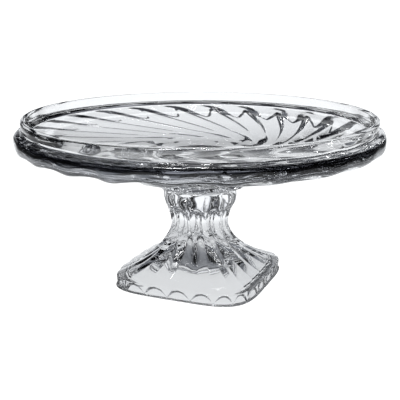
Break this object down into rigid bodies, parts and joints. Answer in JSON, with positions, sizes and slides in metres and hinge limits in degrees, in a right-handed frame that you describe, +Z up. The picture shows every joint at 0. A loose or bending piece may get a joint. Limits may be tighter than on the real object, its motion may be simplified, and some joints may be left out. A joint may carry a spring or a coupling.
{
  "type": "cake stand",
  "caption": "Footed cake plate in clear pressed crystal glass: round plate with upright lip, rolled flange and swirling relief, on a hollow flared pedestal with a square foot.",
  "frame": {"origin": "middle of the foot's underside, on the surface that the stand rests on", "axes": "+Z up through the pedestal and the plate's middle; +X and +Y square to the foot's sides"},
  "size_m": [0.33, 0.33, 0.155],
  "materials": {
    "crystal": "clear fire-polished pressed crystal, cool neutral, smooth and glossy",
    "clear_adhesive": "clear cured adhesive, no colour"
  },
  "bodies": {
    "root": {"pedestal": "crystal", "bond_film": "clear_adhesive", "plate": "crystal"}
  },
  "joints": []
}
